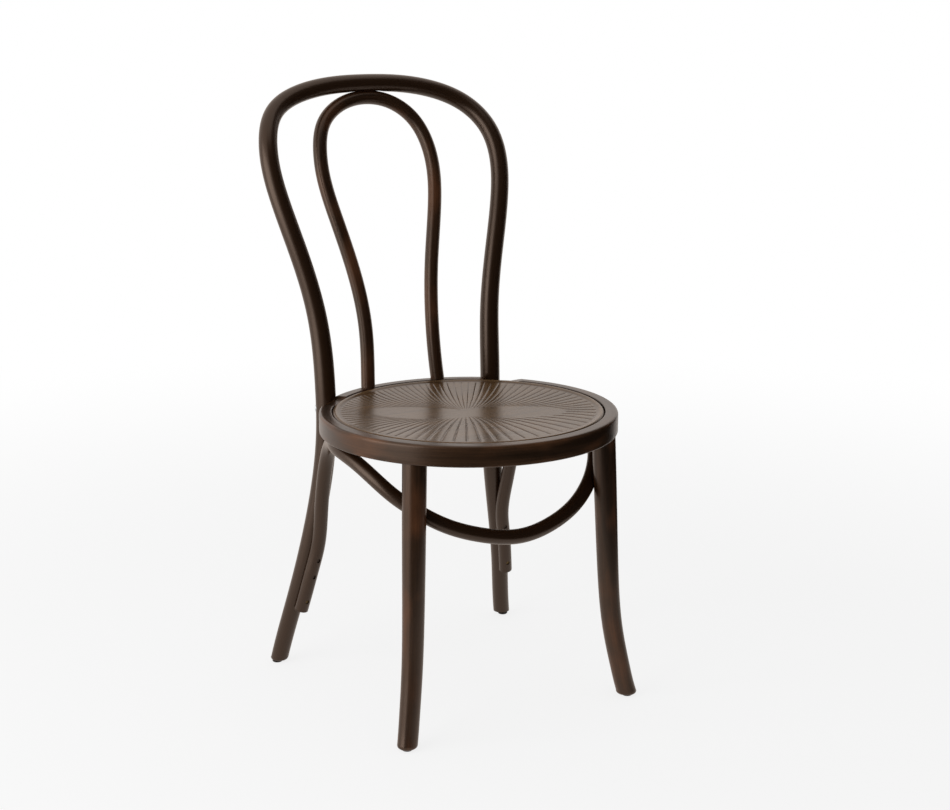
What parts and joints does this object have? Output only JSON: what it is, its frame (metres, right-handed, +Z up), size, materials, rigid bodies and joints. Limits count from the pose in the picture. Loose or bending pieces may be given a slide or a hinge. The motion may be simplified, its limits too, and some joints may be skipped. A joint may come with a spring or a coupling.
{
  "type": "bentwood bistro chair",
  "caption": "Bentwood dining chair with a hoop back that runs down into the rear legs, an inner loop, a round embossed seat and a bent saddle brace.",
  "frame": {"origin": "on the floor, under the middle of the chair's outline", "axes": "+Z up, +Y towards the back rest, +X to the right as seen from the front; left and right in the names are as seen from the front"},
  "size_m": [0.4442, 0.5536, 0.9151],
  "materials": {
    "stained_bentwood": "satin lacquer over a dark walnut stain",
    "pressed_panel": "satin lacquer over a dark walnut stain, embossed",
    "brass_screw": "aged satin",
    "zinc_steel": "zinc plated",
    "glide_plastic": "moulded, matt"
  },
  "bodies": {
    "root": {"back_bow": "stained_bentwood", "inner_back_loop": "stained_bentwood", "seat_ring": "stained_bentwood", "leg_brace": "stained_bentwood", "front_leg_left": "stained_bentwood", "front_leg_right": "stained_bentwood", "seat_panel": "pressed_panel", "glide_front_left": "glide_plastic", "glide_front_right": "glide_plastic", "glide_rear_left": "glide_plastic", "glide_rear_right": "glide_plastic", "loop_top_screws": "brass_screw", "loop_foot_screws": "brass_screw", "front_leg_lock_screws": "brass_screw", "brace_rear_screws": "brass_screw", "brace_front_screws": "brass_screw", "brace_seat_screws": "brass_screw", "back_bow_bolts": "zinc_steel", "back_bow_washers": "zinc_steel", "back_bow_nuts": "zinc_steel", "glide_nails": "zinc_steel"}
  },
  "joints": []
}
